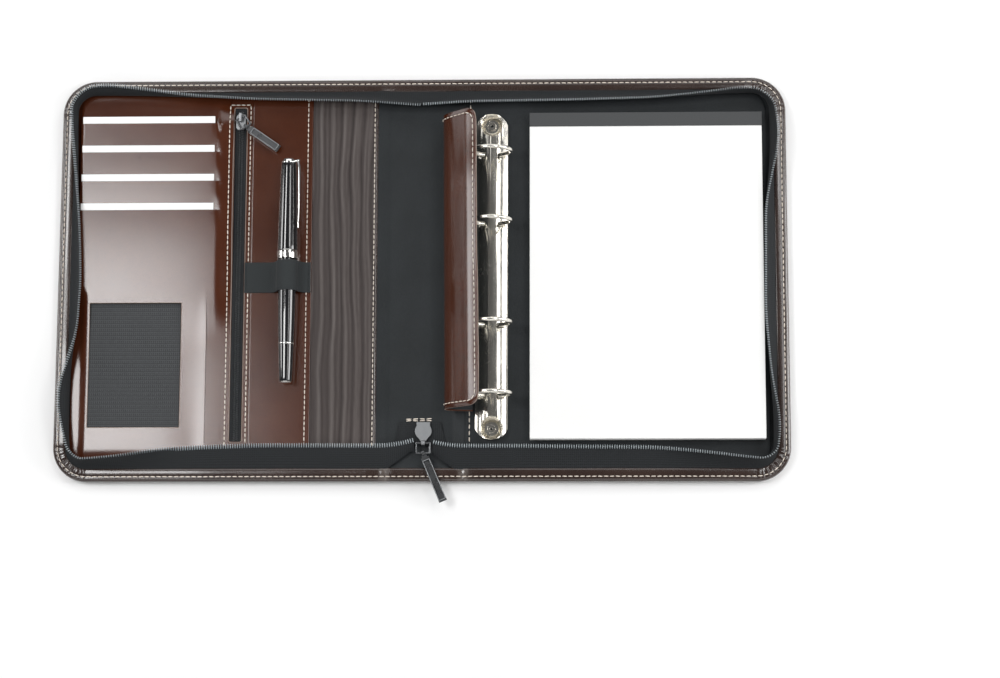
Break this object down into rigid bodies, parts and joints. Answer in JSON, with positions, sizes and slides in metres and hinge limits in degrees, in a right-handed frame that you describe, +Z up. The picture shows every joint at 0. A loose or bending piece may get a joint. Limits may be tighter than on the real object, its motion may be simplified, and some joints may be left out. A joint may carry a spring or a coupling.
{
  "type": "portfolio case",
  "caption": "Zip-around leather portfolio case, open flat, with ring mechanism and flap, note pad, card pockets, zipped pocket and pen loop.",
  "frame": {"origin": "centre of the spine on the outer leather underside, the case lying open and flat on a table", "axes": "+X from the front cover (card side) to the back cover (ring side), +Y towards the top of the pages, +Z up out of the open case"},
  "size_m": [0.467, 0.2746, 0.04],
  "materials": {
    "outer_leather": "smooth, semi-gloss",
    "inner_leather": "smooth, glossy",
    "padding": "matte",
    "stiffener": "matte",
    "lining": "matte, fine grain",
    "moire_cloth": "satin",
    "zip_tape": "matte twill",
    "zip_teeth": "satin",
    "thread": "matte",
    "nickel": "polished nickel",
    "slider_metal": "satin grey",
    "gunmetal": "satin gunmetal",
    "pad_board": "matte",
    "pad_sheets": "matte",
    "pad_binding": "matte",
    "window_mesh": "open mesh",
    "elastic": "ribbed",
    "card_plastic": "satin",
    "pen_lacquer": "gloss",
    "pen_chrome": "polished"
  },
  "bodies": {
    "back_cover": {"back_cover_leather": "outer_leather", "back_edge_binding": "outer_leather", "back_foam_pad": "padding", "back_board": "stiffener", "back_liner": "lining", "back_zip_tape": "zip_tape", "back_zip_teeth": "zip_teeth", "ring_plate": "nickel", "ring_eyelets": "nickel"},
    "ring_row_left": {"ring_blade_left": "nickel", "ring_halves_left": "nickel"},
    "ring_row_right": {"ring_blade_right": "nickel", "ring_halves_right": "nickel"},
    "ring_flap": {"ring_flap_leather": "inner_leather", "ring_flap_lining": "lining"},
    "note_pad": {"pad_backing_board": "pad_board", "pad_paper": "pad_sheets", "pad_binding_strip": "pad_binding"},
    "spine": {"spine_leather": "outer_leather", "spine_edge_binding": "outer_leather", "spine_padding": "padding", "spine_liner": "lining", "hinge_leather_back": "outer_leather", "hinge_leather_front": "outer_leather", "hinge_liner_back": "lining", "hinge_liner_front": "lining", "spine_zip_tape": "zip_tape", "spine_zip_teeth": "zip_teeth", "mouth_zip_tape": "zip_tape", "mouth_zip_chain": "zip_teeth", "mouth_bartack": "thread"},
    "zip_slider": {"zip_slider_body": "slider_metal"},
    "zip_link": {"zip_link_wire": "nickel"},
    "zip_tab": {"zip_pull_tab": "gunmetal"},
    "front_cover": {"front_cover_leather": "outer_leather", "front_edge_binding": "outer_leather", "front_foam_pad": "padding", "front_board": "stiffener", "front_liner": "lining", "front_zip_tape": "zip_tape", "front_zip_teeth": "zip_teeth", "card_pocket_strips": "inner_leather", "card_pocket_panel": "inner_leather", "id_window_mesh": "window_mesh", "pocket_zip_tape": "zip_tape", "pocket_zip_teeth": "zip_teeth", "pen_panel": "inner_leather", "pen_loop": "elastic", "rippled_lining": "moire_cloth"},
    "card_one": {"card_1": "card_plastic"},
    "card_two": {"card_2": "card_plastic"},
    "card_three": {"card_3": "card_plastic"},
    "card_four": {"card_4": "card_plastic"},
    "pen": {"pen_cap": "pen_lacquer", "pen_barrel": "pen_lacquer", "pen_trim": "pen_chrome"},
    "pocket_slider": {"pocket_slider_body": "slider_metal"},
    "pocket_link": {"pocket_link_wire": "nickel"},
    "pocket_tab": {"pocket_pull_tab": "gunmetal"}
  },
  "joints": [
    {"name": "spine_fold", "type": "hinge", "parent": "back_cover", "child": "spine", "pos_m": [0.024, 0, 0], "axis": [0, 1, 0], "range_deg": [0, 90], "deforming": ["hinge_leather_back", "hinge_liner_back", "spine_zip_tape", "spine_zip_teeth", "mouth_zip_tape", "ring_flap_leather", "ring_flap_lining"]},
    {"name": "front_fold", "type": "hinge", "parent": "spine", "child": "front_cover", "pos_m": [-0.024, 0, 0], "axis": [0, 1, 0], "range_deg": [0, 90], "deforming": ["hinge_leather_front", "hinge_liner_front"]},
    {"name": "rings_open_left", "type": "hinge", "parent": "back_cover", "child": "ring_row_left", "pos_m": [0.0366, 0, 0.008], "axis": [0, 1, 0], "range_deg": [-16, 0]},
    {"name": "rings_open_right", "type": "hinge", "parent": "back_cover", "child": "ring_row_right", "pos_m": [0.0534, 0, 0.008], "axis": [0, 1, 0], "range_deg": [0, 16]},
    {"name": "flap_swing", "type": "hinge", "parent": "back_cover", "child": "ring_flap", "pos_m": [0.032, 0, 0.00625], "axis": [0, 1, 0], "range_deg": [-9.6, 0]},
    {"name": "note_pad_lift", "type": "slide", "parent": "back_cover", "child": "note_pad", "axis": [0, 0, -1], "range_m": [-0.06, 0]},
    {"name": "zip_slider_travel", "type": "slide", "parent": "spine", "child": "zip_slider", "axis": [0, 1, 0], "range_m": [-0.012, 0]},
    {"name": "zip_link_lift", "type": "hinge", "parent": "zip_slider", "child": "zip_link", "pos_m": [0.002, -0.1063, 0.0089], "axis": [1, 0, 0], "range_deg": [-100, 0]},
    {"name": "zip_tab_swing", "type": "hinge", "parent": "zip_link", "child": "zip_tab", "pos_m": [0.002, -0.1127, 0.0089], "axis": [0, 0, 1], "range_deg": [-46, 0]},
    {"name": "card_one_draw", "type": "slide", "parent": "front_cover", "child": "card_one", "axis": [0, -0.9969, -0.0785], "range_m": [-0.006, 0]},
    {"name": "card_two_draw", "type": "slide", "parent": "front_cover", "child": "card_two", "axis": [0, -0.9969, -0.0785], "range_m": [-0.025, 0]},
    {"name": "card_three_draw", "type": "slide", "parent": "front_cover", "child": "card_three", "axis": [0, -0.9969, -0.0785], "range_m": [-0.044, 0]},
    {"name": "card_four_draw", "type": "slide", "parent": "front_cover", "child": "card_four", "axis": [0, -0.9969, -0.0785], "range_m": [-0.05, 0]},
    {"name": "pen_draw", "type": "slide", "parent": "front_cover", "child": "pen", "axis": [0, -1, 0], "range_m": [-0.034, 0]},
    {"name": "pocket_slider_travel", "type": "slide", "parent": "front_cover", "child": "pocket_slider", "axis": [0, 1, 0], "range_m": [-0.195, 0]},
    {"name": "pocket_link_swing", "type": "hinge", "parent": "pocket_slider", "child": "pocket_link", "pos_m": [-0.11725, 0.1045, 0.01], "axis": [0, 0, 1], "range_deg": [-32, 4]},
    {"name": "pocket_tab_lift", "type": "hinge", "parent": "pocket_link", "child": "pocket_tab", "pos_m": [-0.11354, 0.09856, 0.01], "axis": [0.848, 0.5299, 0], "range_deg": [-100, 0]}
  ],
  "couplings": [
    {"joint": "rings_open_right", "follows": "rings_open_left", "ratio": -1},
    {"joint": "flap_swing", "follows": "rings_open_left", "ratio": 0.6}
  ]
}
